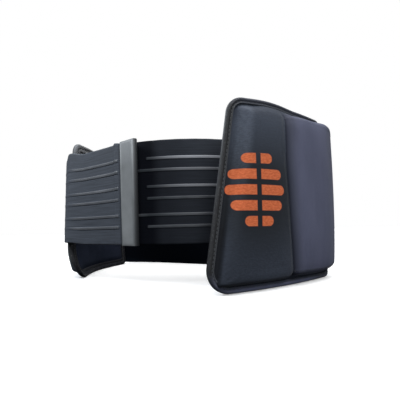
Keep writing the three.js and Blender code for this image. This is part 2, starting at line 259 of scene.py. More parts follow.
def ranged(tree, given, low, high, to_low=0.0, to_high=1.0, smooth=False):
    """A value carried from one range to another, and held at the ends."""
    kind = "SMOOTHSTEP" if smooth else "LINEAR"
    values = {"Value": given, "From Min": low, "From Max": high, "To Min": to_low, "To Max": to_high}
    return node(tree, "ShaderNodeMapRange", values, interpolation_type=kind).outputs[0]


def toned(tree, shade, low, high):
    """A colour that follows the shade of a pattern."""
    return mixed(tree, ranged(tree, shade, 0.3, 0.7), low, high)


def finish_of(name, constants=None):
    """A new finish, with its node tree and the flat place on the cloth in mm."""
    made = bpy.data.materials.new(name)
    made.use_nodes = True
    tree = made.node_tree
    for socket, setting in (constants or {}).items():
        tree.nodes["Principled BSDF"].inputs[socket].default_value = setting
    return made, tree, node(tree, "ShaderNodeUVMap", uv_map="cloth").outputs[0]


def dress(tree, paint, rough, height=None, strength=0.0, depth=0.0004, coat=None):
    """Gives a finish its colour, its roughness, the height of its surface and its coat."""
    given = {"Base Color": paint, "Roughness": rough, "Coat Weight": coat}
    if height is not None:
        bump = {"Strength": strength, "Distance": depth, "Height": height}
        given["Normal"] = node(tree, "ShaderNodeBump", bump).outputs[0]
    for socket, value in given.items():
        if value is not None:
            tree.links.new(value, tree.nodes["Principled BSDF"].inputs[socket])


def new_pattern(name, sizes, output):
    """A pattern that finishes share, with its inputs, which are the flat place and its sizes, and its output."""
    group = bpy.data.node_groups.new(name, "ShaderNodeTree")
    group.interface.new_socket(name="Flat", in_out="INPUT", socket_type="NodeSocketVector")
    for size in sizes:
        group.interface.new_socket(name=size, in_out="INPUT", socket_type="NodeSocketFloat")
    group.interface.new_socket(name=output, in_out="OUTPUT", socket_type="NodeSocketFloat")
    return group, group.nodes.new("NodeGroupInput").outputs, group.nodes.new("NodeGroupOutput").inputs[0]


def patterned(tree, group, flat, *sizes):
    """One of the shared patterns on a cloth's flat place, at its sizes in mm."""
    return node(tree, "ShaderNodeGroup", dict(enumerate([flat, *sizes])), node_tree=group).outputs[0]


# Flecks are soft noise drawn out along and across the cloth, for heathered yarn and uneven dye
flecks, given, out = new_pattern("flecks", ("Along", "Across"), "Shade")
size = node(flecks, "ShaderNodeCombineXYZ", {0: given["Along"], 1: given["Across"], 2: 1.0}).outputs[0]
drawn_out = node(flecks, "ShaderNodeVectorMath", {0: given["Flat"], 1: size}, operation="DIVIDE").outputs[0]
cloud = node(flecks, "ShaderNodeTexNoise", {"Vector": drawn_out, "Scale": 1.0, "Detail": 3.0, "Roughness": 0.6})
flecks.links.new(cloud.outputs[0], out)

# Weave is the height of threads that pass over and under each other, at a pitch along and across the cloth
weave, given, out = new_pattern("weave", ("Along", "Across"), "Height")
axes = parts(weave, given["Flat"])
warp, weft = (
    sum_of(weave, "SINE", sum_of(weave, "DIVIDE", times(weave, axis, 2 * math.pi), given[pitch]))
    for axis, pitch in ((axes[0], "Along"), (axes[1], "Across"))
)
crossed = sum_of(weave, "ADD", times(weave, warp, weft), times(weave, weft, 0.5))
weave.links.new(sum_of(weave, "MULTIPLY_ADD", crossed, 0.33, 0.5), out)

# The print is five rounded bars, widest in the middle of the stack and slit down the centre
PRINT_ALONG, PRINT_UP, BAR_PITCH = 47.0, 86.0, 13.0
bars, given, out = new_pattern("print_bars", (), "Mask")
axes = parts(bars, given["Flat"])
across = sum_of(bars, "ABSOLUTE", sum_of(bars, "SUBTRACT", axes[0], PRINT_ALONG))
upward = sum_of(bars, "SUBTRACT", axes[1], PRINT_UP)
bar = sum_of(bars, "ROUND", sum_of(bars, "DIVIDE", upward, BAR_PITCH))
bar = sum_of(bars, "MINIMUM", sum_of(bars, "MAXIMUM", bar, -2.0), 2.0)
reach = sum_of(bars, "SUBTRACT", 22.5, times(bars, times(bars, bar, bar), 3.2))
past = sum_of(bars, "MAXIMUM", sum_of(bars, "SUBTRACT", across, reach), 0.0)
aside = sum_of(bars, "SUBTRACT", upward, times(bars, bar, BAR_PITCH))
away = sum_of(bars, "SQRT", sum_of(bars, "ADD", times(bars, past, past), times(bars, aside, aside)))
inside = ranged(bars, away, 3.9, 4.5, 1.0, 0.0, smooth=True)
slit = ranged(bars, across, 2.0, 2.6, smooth=True)
bars.links.new(times(bars, inside, slit), out)

knit, tree, flat = finish_of(
    "heathered_knit", {"Sheen Weight": 0.1, "Sheen Roughness": 0.45, "Specular IOR Level": 0.22}
)
heather = patterned(tree, flecks, flat, 2.6, 1.3)
course = patterned(tree, flecks, flat, 22.0, 1.5)
stitch = patterned(tree, weave, flat, 1.3, 1.05)
tone = sum_of(tree, "MULTIPLY_ADD", course, 0.2, times(tree, heather, 0.8))
ground = toned(tree, tone, (46, 51, 62), (63, 70, 83))
# The middle of the pad's face is painted darker, as painted shade.
away = node(tree, "ShaderNodeVectorMath", {0: flat, 1: (48.0, 80.0, 0.0)}, operation="DISTANCE").outputs["Value"]
painted_middle_shade = mixed(tree, tone, (28, 32, 37), (38, 42, 48))
ground = mixed(tree, ranged(tree, away, 15.0, 70.0, 1.0, 0.0, smooth=True), ground, painted_middle_shade)
along, upward, _ = parts(tree, flat)
from_front = sum_of(tree, "SUBTRACT", along, times(tree, upward, 0.162))
# A lighter band along the front bevel, stronger towards the top, is a painted sheen highlight.
painted_bevel_sheen = ranged(tree, from_front, 8.0, 12.0, smooth=True)
painted_bevel_sheen = times(tree, painted_bevel_sheen, ranged(tree, from_front, 17.0, 25.0, 1.0, 0.0, smooth=True))
painted_bevel_sheen = times(tree, painted_bevel_sheen, ranged(tree, upward, 70.0, 140.0, 0.05, 0.7))
painted_bevel_sheen = times(tree, painted_bevel_sheen, ranged(tree, heather, 0.3, 0.7, 0.4, 1.0))
ground = mixed(tree, painted_bevel_sheen, ground, (96, 103, 116))
lit = times(tree, ranged(tree, upward, 105.0, 140.0, 0.0, 0.25), ranged(tree, upward, 143.0, 154.0, 1.0, -0.4))
ground = mixed(tree, sum_of(tree, "MAXIMUM", lit, 0.0), ground, (86, 94, 108))
shaded = times(tree, ranged(tree, upward, 15.0, 60.0, 0.4, 0.0), ranged(tree, from_front, 15.0, 55.0, 1.0, 0.0))
ground = mixed(tree, shaded, ground, (30, 34, 41))
# Painted shade darkens the groove beside the front rim, mostly low down, and a thin band along the foot.
painted_crease_shade = times(tree, ranged(tree, from_front, 9.2, 11.2, 0.8, 0.0), ranged(tree, upward, 50.0, 110.0, 1.0, 0.0))
painted_crease_shade = sum_of(tree, "MAXIMUM", painted_crease_shade, ranged(tree, upward, 7.0, 8.4, 0.3, 0.0))
ground = mixed(tree, painted_crease_shade, ground, (13, 14, 17))
ink = mixed(tree, ranged(tree, heather, 0.35, 0.65), (208, 100, 58), (234, 126, 80))
paint = mixed(tree, patterned(tree, bars, flat), ground, ink)
relief = sum_of(tree, "MULTIPLY_ADD", heather, 0.6, times(tree, stitch, 0.5))
dress(tree, paint, ranged(tree, heather, 0.3, 0.7, 0.72, 0.88), relief, 0.5)

lining, tree, flat = finish_of("black_lining", {"Specular IOR Level": 0.12})
pile = patterned(tree, flecks, flat, 1.6, 1.6)
worn = patterned(tree, flecks, flat, 40.0, 40.0)
ground = toned(tree, worn, (34, 40, 55), (47, 53, 69))
along, upward, _ = parts(tree, flat)
# The lining's upper front corner is painted lighter, as painted light.
corner = times(tree, ranged(tree, upward, 136.0, 152.0, 0.0, 0.9), ranged(tree, along, 45.0, 65.0, 1.0, 0.0))
paint = mixed(tree, corner, ground, (126, 128, 132))
dress(tree, paint, ranged(tree, pile, 0.3, 0.7, 0.85, 0.97), pile, 0.4)

# How far the foam stands out at a distance in from each edge, and the distances of the rings that it is built from
FOAM_RISE, OUTER_CROWN, INNER_CROWN, DEEPEST = 10.2, 2.8, 0.9, 46
FOOT_RISE = [
    (1.9, 1.4), (8, 1.3), (8.8, 1.2), (9.4, 1.6), (10, 4.2), (10.8, 7.2), (12, 8.9), (14, 9.8), (18, 10.2), (30, 10.2),
]
REAR_RISE = [(1.9, 1.4), (8, 1.3), (9.4, 1.0), (10.6, 1.4), (12.6, 5), (16, 8.5), (22, 10.05), (30, 10.2)]
TOP_RISE = [(1.9, 1.4), (6.2, 1.4), (7.2, 1.9), (8.6, 3.6), (10.4, 5.8), (13, 7.9), (17, 9.3), (22, 10), (30, 10.2)]
TOP_FULL = [
    (1.9, 1.4), (4.9, 1.45), (5.6, 2.2), (6.4, 3.2), (8, 4.7), (10.4, 6.5), (13, 8.1), (17, 9.3), (22, 10), (30, 10.2),
]
FRONT_LOW = [
    (1.9, 1.4), (7.6, 1.3), (8.6, 1.1), (9.2, 1.5), (10, 3.6), (11, 6), (12.5, 7.8), (15, 9.1), (19, 9.9), (24, 10.2),
    (30, 10.2),
]
FRONT_TOP = [
    (1.9, 1.4), (6.8, 1.3), (7.6, 1.1), (8.4, 1.5), (9.4, 2.3), (12, 4.3), (15, 6.5), (18, 8.6), (19.6, 9.5),
    (21.5, 10), (25, 10.2), (30, 10.2),
]
PAD_BACK = [(1.9, 1.4), (9, 1.4), (10.5, 1.9), (14.5, 2.9), (20, 3.1), (27, 3.2)]
OUTER_INSETS = [
    DEEPEST, 42, 38, 34, 30.5, 27.5, 25, 22.8, 20.8, 19, 17.4, 16, 14.8, 13.7, 12.7, 11.9, 11.2, 10.7, 10.2, 9.8,
    9.4, 9.0, 8.5, 8.0, 7.4, 6.7, 5.8, 4.4, 3, 1.9,
]
INNER_INSETS = [1.9, 4, 6.5, 8.4, 9.4, 10.2, 11.2, 12.6, 14.5, 17, 20, 24, 29, 35, 41, DEEPEST]
MIDDLE_SHARES = np.linspace(0.04, 0.96, 24)

# Where the seam between knit and satin crosses the middle of each pad, and how it leans
SEAM_PLACES = {"left": 81.5, "right": 83}
SEAM_LEAN, SEAM_MIDDLE = 0.07, 83.5


def pad_crown(along, up):
    """How full the foam is at a place, from 0 at the edges to 1 in the middle."""
    front, rear = FRONT_LEAN * up / PAD_HEIGHT, PAD_FOOT - REAR_LEAN * up / PAD_HEIGHT
    across, height = (2 * along - front - rear) / (rear - front), 2 * up / PAD_HEIGHT - 1
    return np.clip(1 - across**2, 0, 1) * np.clip(1 - height**2, 0, 1)


def foot_inset(along, up):
    """Distance in from the foot as the foam's wall has it: the wall stands lower in front of the seam."""
    return up + 2.6 * (1 - step_up(along, 80, 8)) * step_up(up, 2, 3)


def seam_back(up):
    """How far back the seam between knit and satin lies at a height: it leans, and is nearly upright near the top."""
    bent = 5.5 * np.clip((up - 100) / 58, 0, 1) ** 2 + 2 * np.clip((60 - up) / 50, 0, 1)
    return SEAM_LEAN * (SEAM_MIDDLE - up) + bent


def seam_valley(from_seam):
    """How far the sewn seam pulls the foam in, at a distance from it."""
    return 2.0 * np.exp(-((from_seam / 3.4) ** 2))


def foam_wall(along, up):
    """How far the foam stands out before its crown: each edge has a wall of its own, and they round into each other."""
    rear = ((PAD_FOOT - along) * PAD_HEIGHT - up * REAR_LEAN) / math.hypot(PAD_HEIGHT, REAR_LEAN)
    front = (along * PAD_HEIGHT - up * FRONT_LEAN) / math.hypot(PAD_HEIGHT, FRONT_LEAN)
    steep = 1 - step_up(up, 20, 80)
    full = step_up(along, 48, 18)
    walls = [
        eased(foot_inset(along, up), FOOT_RISE),
        eased(rear, REAR_RISE),
        full * eased(PAD_HEIGHT - up, TOP_FULL) + (1 - full) * eased(PAD_HEIGHT - up, TOP_RISE),
        steep * eased(front, FRONT_LOW) + (1 - steep) * eased(front, FRONT_TOP),
    ]
    short = sum(np.clip(FOAM_RISE - wall, 0, None) ** 3 for wall in walls) ** (1 / 3)
    return np.maximum(FOAM_RISE - short, 1.2)


PUFF_FRAMES, PUFF_MOST = 20, 0.9


def puffed(cover, faces, held, most):
    """A pad's cover let out as cloth by the foam's push. Held points stay, and none moves further than the most."""
    mesh = bpy.data.meshes.new("cover")
    mesh.from_pydata((cover * 0.001).tolist(), [], faces.tolist())
    trial = bpy.data.objects.new("cover", mesh)
    bpy.context.scene.collection.objects.link(trial)
    sewn = trial.vertex_groups.new(name="sewn")
    for level in range(1, 11):
        sewn.add(np.nonzero(np.round(held * 10) == level)[0].tolist(), level / 10, "REPLACE")
    cloth = trial.modifiers.new("cloth", "CLOTH")
    for setting, value in {
        "quality": 5, "mass": 0.3, "tension_stiffness": 15, "compression_stiffness": 15, "shear_stiffness": 5,
        "bending_stiffness": 0.5, "use_pressure": True, "uniform_pressure_force": 4, "vertex_group_mass": sewn.name,
    }.items():
        setattr(cloth.settings, setting, value)
    cloth.settings.effector_weights.gravity = 0
    cloth.point_cache.frame_start, cloth.point_cache.frame_end = 1, PUFF_FRAMES
    for frame_number in range(1, PUFF_FRAMES + 1):
        bpy.context.scene.frame_set(frame_number)
    after = np.empty(cover.size)
    trial.evaluated_get(bpy.context.evaluated_depsgraph_get()).data.vertices.foreach_get("co", after)
    bpy.context.scene.frame_set(1)
    bpy.data.objects.remove(trial)
    bpy.data.meshes.remove(mesh)
    moved = after.reshape(-1, 3) * 1000 - cover
    length = np.maximum(np.linalg.norm(moved, axis=1, keepdims=True), 1e-6)
    return cover + moved * most * np.tanh(length / most) / length


def foam_pad(side):
    middle = np.array([(PAD_FOOT + FRONT_LEAN - REAR_LEAN) / 2, PAD_HEIGHT / 2])
    edge = pad_outline(0)
    run = run_of(edge)
    turn = 2 * math.pi * run / (run[-1] + np.linalg.norm(edge[0] - edge[-1]))
    pucker = 0.6 * np.sin(43 * turn + 1.1 * np.sin(10 * turn)) + 0.4 * np.sin(71 * turn + 0.7 * np.sin(16 * turn))

    def from_seam(along, up):
        return along - SEAM_PLACES[side] - seam_back(up)

    def ring(inset, share, crown, fold):
        flat = middle + (pad_outline(inset) - middle) * share
        along, up = flat.T
        soft = 0.25 * np.sin(along / 15 + up / 37 + 1) * np.sin(up / 19 - along / 43)
        swell = pad_crown(along, up)
        gather = 0.12 * pucker * math.exp(-(((inset - 12.5) / 3.4) ** 2)) * (share == 1)
        wall = foam_wall(along, up) if fold > 0 else eased(inset, PAD_BACK)
        offset = fold * (wall + crown * swell + soft * swell * (fold > 0) + gather)
        if fold > 0:
            offset = offset - seam_valley(from_seam(along, up)) * step_up(wall, 2, 6)
        return flat, on_pad(side, along, up, offset)

    rings = [ring(DEEPEST, share, OUTER_CROWN, 1) for share in MIDDLE_SHARES]
    rings += [ring(inset, 1, OUTER_CROWN, 1) for inset in OUTER_INSETS]
    split = len(rings)
    rings += [ring(inset, 1, INNER_CROWN, -1) for inset in INNER_INSETS]
    rings += [ring(DEEPEST, share, INNER_CROWN, -1) for share in MIDDLE_SHARES[::-1]]
    poles = [on_pad(side, middle[0], middle[1], rise) for rise in (13.0, -4.1)]
    points = np.vstack([points for _, points in rings] + [pole[None] for pole in poles])
    count = len(edge)
    index = np.arange(len(rings) * count).reshape(len(rings), count)
    index = np.hstack([index, index[:, :1]])
    flats = np.array([flat for flat, _ in rings])
    flats = np.concatenate([flats, flats[:, :1]], 1)

    depths = np.concatenate([np.full(len(MIDDLE_SHARES), DEEPEST), OUTER_INSETS])
    loose = np.flatnonzero(depths > 13)[-1] + 1
    held = (1 - step_up(depths[:loose], 15, 8)).repeat(count)
    held = np.maximum(held, step_up(from_seam(*flats[:loose, :-1].reshape(-1, 2).T), -5, 3.5))
    faces = grid_faces(index[:loose], flats[:loose])[0]
    out = on_pad(side, middle[0], middle[1], 1.0) - on_pad(side, middle[0], middle[1], 0.0)
    a, b, c = points[faces[len(faces) // 2, :3]]
    faces = faces if np.cross(b - a, c - a) @ out > 0 else faces[:, ::-1]
    points[: loose * count] = puffed(points[: loose * count], faces, held, PUFF_MOST)

    def fan(row, pole, order):
        faces = np.stack([np.full(count, len(rings) * count + pole), index[row, 1:], index[row, :-1]], -1)[:, ::order]
        places = np.stack([np.tile(middle, (count, 1)), flats[row, 1:], flats[row, :-1]], 1)[:, ::order]
        return faces, places

    patches = [
        (*fan(0, 0, -1), 0),
        (*grid_faces(index[:split], flats[:split]), 0),
        (*grid_faces(index[split - 1 :], flats[split - 1 :]), 1),
        (*fan(-1, 1, 1), 1),
    ]
    return sewn_piece(f"{side}_foam_pad", points, patches, [knit, lining])


for side in ("left", "right"):
    pad = foam_pad(side)
    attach(pad, "root")
    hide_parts(f"{side}_pad")

# Rim binding: a woven tape folded over the pad's thin rim and sewn through, so that it shows as a round bead at the
# edge, a stitched valley and a raised inner lip. It also runs along the foot that the pad stands on.
BINDING_OUTER = [
    (1.6, 1.55), (3.2, 1.5), (4.9, 1.5), (5.4, 1.7), (5.6, 2.05), (5.45, 2.45), (5.1, 2.75), (4.65, 2.7), (4.25, 2.4),
    (3.85, 2.1), (3.4, 2.25), (2.9, 2.65), (2.3, 2.95), (1.6, 2.85), (0.9, 2.45), (0.3, 1.75), (0, 0.8),
]
BINDING_INNER = [
    (1.6, 1.55), (4.5, 1.6), (8.5, 1.6), (9.6, 2.0), (9.8, 2.4), (9.5, 2.75), (8.6, 2.8), (7.4, 2.7), (6.4, 2.5),
    (5.9, 2.25), (5.4, 2.15), (4.9, 2.3), (4.3, 2.65), (3.5, 3.0), (2.6, 3.1), (1.7, 2.9), (0.9, 2.45), (0.3, 1.75),
    (0, 0.8),
]

# The run round the rim at which its front edge starts, from the foot's front corner by way of the rear and the top
FRONT_STARTS = run_of(pad_outline(0))[196]

tape, tree, flat = finish_of("binding_tape", {"Sheen Weight": 0.04, "Specular IOR Level": 0.3})
cord = patterned(tree, weave, flat, 1.5, 1.2)
dye = patterned(tree, flecks, flat, 9.0, 2.4)
ground = toned(tree, dye, (31, 32, 34), (46, 47, 49))
run_round, girth, _ = parts(tree, flat)
past_corner = ranged(tree, run_round, 4, 44)
# Away from the front edge the tape is painted lighter, as painted light on its rear and top runs.
painted_light_off_front = times(tree, past_corner, ranged(tree, run_round, FRONT_STARTS - 14, FRONT_STARTS + 10, 1.0, 0.0))
ground = mixed(tree, painted_light_off_front, ground, mixed(tree, dye, (59, 62, 70), (79, 82, 94)))
# Along the foot the tape is painted lighter and bluer still, as painted light from below.
painted_foot_light = times(tree, past_corner, ranged(tree, run_round, 130, 160, 1.0, 0.0))
ground = mixed(tree, painted_foot_light, ground, mixed(tree, dye, (86, 90, 112), (109, 113, 137)))
foot = sum_of(tree, "MAXIMUM", ranged(tree, run_round, 230, 290, 1.0, 0.0), ranged(tree, run_round, 520, 570))
# The tape's inner face is painted lighter near the front top corner, as painted light, and near black along the foot,
# as painted shade.
corner = sum_of(tree, "ABSOLUTE", sum_of(tree, "SUBTRACT", run_round, FRONT_STARTS))
inner_face_light_and_shade = mixed(tree, ranged(tree, corner, 30, 60, 1.0, 0.0), (58, 60, 65), (106, 108, 112))
inner_face_light_and_shade = mixed(tree, foot, inner_face_light_and_shade, (8, 10, 17))
ground = mixed(tree, ranged(tree, girth, 11.0, 13.0, 0.0, 0.95), ground, inner_face_light_and_shade)
# The inner lip's lighter line is a painted highlight.
lip = times(tree, ranged(tree, girth, 3.9, 4.5), ranged(tree, girth, 5.5, 6.1, 1.0, 0.0))
ground = mixed(tree, times(tree, lip, 0.7), ground, (76, 79, 84))
fluff = patterned(tree, flecks, flat, 2.2, 2.2)
paint = mixed(tree, ranged(tree, fluff, 0.56, 0.74, 0.0, 0.6), ground, (96, 96, 97))
dress(tree, paint, ranged(tree, cord, 0.1, 0.9, 0.55, 0.75), cord, 0.4)

thread, tree, flat = finish_of("sewing_thread")
twist = patterned(tree, weave, flat, 0.6, 0.9)
paint = mixed(tree, twist, (52, 54, 58), (104, 107, 113))
dress(tree, paint, ranged(tree, twist, 0.0, 1.0, 0.4, 0.6))


def stitches(name, places, ways, normals, length, thickness):
    """A row of sewn stitches, each a short thread that dips into the cloth at both ends."""
    reach = np.array([-0.5, -0.36, 0, 0.36, 0.5])
    girth = np.array([0.5, 0.9, 1, 0.9, 0.5])
    angles = np.arange(6) * math.pi / 3
    sides = np.cross(normals, ways)
    lift = thickness * (0.55 * (1 - (2 * reach) ** 2) - 0.35)
    out = lift[:, None] + 0.5 * thickness * girth[:, None] * np.cos(angles)
    wide = 0.5 * thickness * girth[:, None] * np.sin(angles)
    points = (
        places[:, None, None]
        + ways[:, None, None] * (reach * length)[None, :, None, None]
        + normals[:, None, None] * out[None, :, :, None]
        + sides[:, None, None] * wide[None, :, :, None]
    ).reshape(-1, 3)
    ring = np.arange(30).reshape(5, 6)
    ring = np.hstack([ring, ring[:, :1]])
    flat = np.stack(np.meshgrid(reach * length, np.arange(7) * thickness / 2, indexing="ij"), -1)
    faces, spots = grid_faces(ring, flat)
    faces = np.vstack([faces, [[0, 1, 2, 3], [0, 3, 4, 5], [24, 27, 26, 25], [24, 29, 28, 27]]])
    spots = np.concatenate([spots, np.zeros((4, 4, 2))])
    faces = (faces + np.arange(len(places))[:, None, None] * 30).reshape(-1, 4)
    return sewn_piece(name, points, [(faces, np.tile(spots, (len(places), 1, 1)), 0)], [thread])


def sewn_along(name, points, normals, pitch, length, thickness):
    """Stitches at an even pitch along a line of points on a cloth that faces along the normals."""
    run = run_of(points)
    count = int(run[-1] / pitch)
    stops = (np.arange(count) + 0.5) * run[-1] / count

    def at(line, stop):
        return np.stack([np.interp(stop, run, line[:, k]) for k in range(3)], -1)

    ways = unit(at(points, stops + 0.3) - at(points, stops - 0.3))
    return stitches(name, at(points, stops), ways, unit(at(normals, stops)), length, thickness)


for side in ("left", "right"):
    section = np.array(BINDING_OUTER + [(inset, -offset) for inset, offset in BINDING_INNER[::-1]])
    rings = [on_pad(side, *pad_outline(inset).T, offset) for inset, offset in section]
    edge = pad_outline(0)
    run, girth = run_of(np.vstack([edge, edge[:1]])), run_of(np.vstack([section, section[:1]]))
    count = len(edge)
    index = np.arange(len(section) * count).reshape(len(section), count)
    index = np.vstack([index, index[:1]])
    index = np.hstack([index, index[:, :1]])
    flats = np.stack(np.meshgrid(girth, run, indexing="ij")[::-1], -1)
    binding = sewn_piece(f"{side}_rim_tape", np.vstack(rings), [(*grid_faces(index, flats), 0)], [tape])
    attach(binding, "root")
    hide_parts(f"{side}_binding")
    for face, inset, offset in (("outer", 3.8, 2.15), ("inner", 5.5, -2.2)):
        along, up = np.vstack([pad_outline(inset), pad_outline(inset)[:1]]).T
        line = on_pad(side, along, up, offset)
        seam = sewn_along(f"{side}_{face}_rim_stitches", line, line - on_pad(side, along, up, 0.0), 3.4, 2.6, 0.5)
        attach(seam, "root")

# Back panel: one wide piece of satin stretch cloth, laminated to a thin backing. It runs round the wearer's back and
# over the rear of both pads, where its turned edges are drawn down to the rims and its ends are sewn to the crowns.
PANEL_OUT = 15
PANEL_SECTIONS = [
    ("left", SEAM_PLACES["left"], PANEL_OUT, 9, 158, 1, SEAM_LEAN), ("left", 94, 15.2, 8.6, 158.6, 1, 0.06),
    ("left", 107, 15.2, 8.2, 159.2, 1, 0.045), ("left", 122, 15, 7.8, 159.8, 1, 0.03),
    ("left", 136, 14.4, 8, 160, 0.9, 0.015), ("left", 149, 11.8, 9.2, 160, 0.62, 0),
    (None, 166.4, 57, 10.4, 160.6, 0.45, 0), (None, 163.4, 72.5, 9, 160, 0.42, 0), (None, 151, 86, 5, 159, 0.2, 0),
    (None, 118, 95.5, 0.7, 158, 0, 0), (None, 62, 102, 0, 157, 0, 0), (None, 3, 104, 0, 157, 0, 0),
    (None, -56, 103, 0, 157, 0, 0), (None, -112, 98.5, 0.2, 158, 0, 0), (None, -147, 91, 0.6, 159, 0.2, 0),
    (None, -161.5, 79.5, 1.6, 160, 0.42, 0), (None, -166, 65.5, 3.4, 160.6, 0.45, 0),
    ("right", 149, 11.8, 6.2, 160, 0.62, 0), ("right", 136, 14.4, 7.4, 160, 0.9, -0.015),
    ("right", 122, 15, 7.8, 159.8, 1, -0.03), ("right", 107, 15.2, 8.2, 159.2, 1, -0.045),
    ("right", 95, 15.2, 8.6, 158.6, 1, -0.06), ("right", SEAM_PLACES["right"], PANEL_OUT, 9, 158, 1, -SEAM_LEAN),
]
PANEL_DRAW = [(0, 10.5), (4, 5.2), (8, 3.3), (18, 1.8), (38, 0.5), (80, 0)]
PANEL_ROWS = [0, 0.3, 0.8, 1.5, 2.3, 3.2, 4.2, 5.2, 6, 6.8, 8, 10, 12.5, 16, 20, 25, 31, 38]
EDGE_ENDS = PANEL_ROWS[-1]

backing, tree, flat = finish_of("panel_backing", {"Specular IOR Level": 0.01})
pile = patterned(tree, flecks, flat, 1.8, 1.8)
paint = toned(tree, pile, (5, 8, 13), (11, 14, 21))
dress(tree, paint, ranged(tree, pile, 0.3, 0.7, 0.85, 0.97), pile, 0.4)

satin, tree, flat = finish_of(
    "satin_cloth", {"Sheen Weight": 0.06, "Sheen Roughness": 0.35, "Specular IOR Level": 0.35}
)
sheen = patterned(tree, flecks, flat, 26.0, 90.0)
yarn = patterned(tree, flecks, flat, 0.9, 6.0)
twill = patterned(tree, weave, flat, 0.9, 0.8)
ground = toned(tree, sheen, (86, 90, 112), (100, 103, 126))
ground = mixed(tree, ranged(tree, yarn, 0.3, 0.75, 0.0, 0.35), ground, (115, 118, 138))
# The satin is painted darker near each sewn end, as painted shade in the seam's valley.
sewn = node(tree, "ShaderNodeAttribute", attribute_name="sewn").outputs["Fac"]
paint = mixed(tree, sewn, ground, (34, 38, 50))
rough = sum_of(tree, "MULTIPLY_ADD", sewn, 0.45, ranged(tree, yarn, 0.3, 0.7, 0.42, 0.56))
relief = sum_of(tree, "MULTIPLY_ADD", twill, 0.5, times(tree, yarn, 0.5))
dress(tree, paint, sum_of(tree, "MINIMUM", rough, 0.95), relief, 0.25, 0.0003)


def smooth_line(rows, steps):
    """A smooth line through every row of a table, column by column, with so many steps for each row."""
    rows = np.array(rows, float)
    rows = np.vstack([2 * rows[0] - rows[1], rows, 2 * rows[-1] - rows[-2]])
    t = np.arange(steps)[:, None] / steps
    runs = []
    for a, b, c, d in zip(rows, rows[1:], rows[2:], rows[3:]):
        runs.append(b + 0.5 * t * (c - a + t * (2 * a - 5 * b + 4 * c - d + t * (3 * (b - c) + d - a))))
    return np.vstack(runs + [rows[-2:-1]])


def plan_row(row):
    """A table row placed in plan: a place on a pad, or one given by its x and y."""
    side, first, second, *rest = row
    place = on_pad(side, first, 0.0, second, curled=False)[:2] if side else np.array([first, second]) - LOOP_CENTRE
    return [*place, *rest]


def stations(rows, steps):
    """Points along a line in plan with its run, the way it goes, the side that faces out, and its other columns."""
    line = smooth_line([plan_row(row) for row in rows], steps)
    way = unit(np.gradient(line[:, :2], axis=0))
    return line[:, :2], run_of(line[:, :2]), way, np.stack([way[:, 1], -way[:, 0]], -1), line[:, 2:].T


def shell(name, outer, inner, flats, finishes, inner_finish=0):
    """A closed sheet from grids of points on its outer and inner faces."""
    rows, columns = outer.shape[:2]
    front = np.arange(rows * columns).reshape(rows, columns)
    back = front + rows * columns
    patches = [(*grid_faces(front, flats), 0), (*grid_faces(back[:, ::-1], flats[:, ::-1]), inner_finish)]
    for a, b, spots in (
        (front[0], back[0], flats[0]), (back[-1], front[-1], flats[-1]),
        (back[:, 0], front[:, 0], flats[:, 0]), (front[:, -1], back[:, -1], flats[:, -1]),
    ):
        patches.append((*grid_faces(np.stack([b, a]), np.stack([spots, spots])), 0))
    return sewn_piece(name, np.vstack([outer.reshape(-1, 3), inner.reshape(-1, 3)]), patches, finishes)


def rounded(distance, reach, least):
    """Share of full thickness at a distance from a rounded edge."""
    return np.maximum(np.sqrt(np.clip(1 - (1 - np.clip(distance / reach, 0, 1)) ** 2, 0, 1)), least)


def mark(piece, name, values):
    """Keeps a value at each point of a piece, for its finish."""
    piece.data.attributes.new(name, "FLOAT", "POINT").data.foreach_set("value", values)


plan, run, way, outward, (low, high, drawn, lean) = stations(PANEL_SECTIONS, 14)
low = np.maximum(low, 0)
half = (high - low) / 2
edge = np.concatenate([PANEL_ROWS, EDGE_ENDS + (np.median(half) - EDGE_ENDS) * np.arange(1, 7) / 6])
to_middle = EDGE_ENDS + (half[:, None] - EDGE_ENDS) * (edge[None] - EDGE_ENDS) / (edge[-1] - EDGE_ENDS)
from_edge = np.where(edge[None] <= EDGE_ENDS, edge[None], to_middle)
up = np.hstack([low[:, None] + from_edge, (high[:, None] - from_edge)[:, -2::-1]])
from_edge = np.hstack([from_edge, from_edge[:, -2::-1]])
middle = low + half
flare = 2.5 * (1 - drawn[:, None]) * (middle[:, None] - up) / half[:, None]
from_end = np.minimum(run, run[-1] - run)[:, None]
slide = lean[:, None] / SEAM_LEAN * seam_back(up)
puff = eased(from_end, [(0, 0), (3, 0.3), (7, 0.4), (12, 0.1), (16, 0), (20, 0)])
on_left = run < run[-1] / 2
place = np.where(on_left, SEAM_PLACES["left"] + run, SEAM_PLACES["right"] + run[-1] - run)[:, None]
place = place + slide * np.where(on_left, 1, -1)[:, None]
pad_face = foam_wall(place, up)
pad_face = pad_face + OUTER_CROWN * pad_crown(place, up) - seam_valley(from_end) * step_up(pad_face, 2, 6)
wave = 0.35 * np.sin(run / 23 + 0.6)[:, None] * np.sin(up / 31 + run[:, None] / 61)
pull = np.where(up < middle[:, None], drawn[:, None], drawn[:, None] ** 3)
centre = flare - pull * eased(from_edge, PANEL_DRAW) + wave * np.clip(from_edge / 30, 0, 1)
sewn_down = np.maximum(pad_face, 3.3) - 0.35 + 0.65 * step_up(from_end, 0.2, 4) - PANEL_OUT
centre = sewn_down + (centre - sewn_down) * step_up(from_end, 0, 22) + puff
thick = rounded(from_edge, 1.0, 0.15) * rounded(from_end, 1.0, 0.15)
hem = 0.3 * (1 - np.clip((from_edge - 6) / 0.8, 0, 1)) * (from_edge > 0.9)
hem = hem - 0.22 * np.exp(-(((from_edge - 5.2) / 0.5) ** 2))


def panel_face(offset):
    spot = plan[:, None] + outward[:, None] * offset[..., None] + way[:, None] * slide[..., None]
    return np.concatenate([spot, up[..., None]], -1)


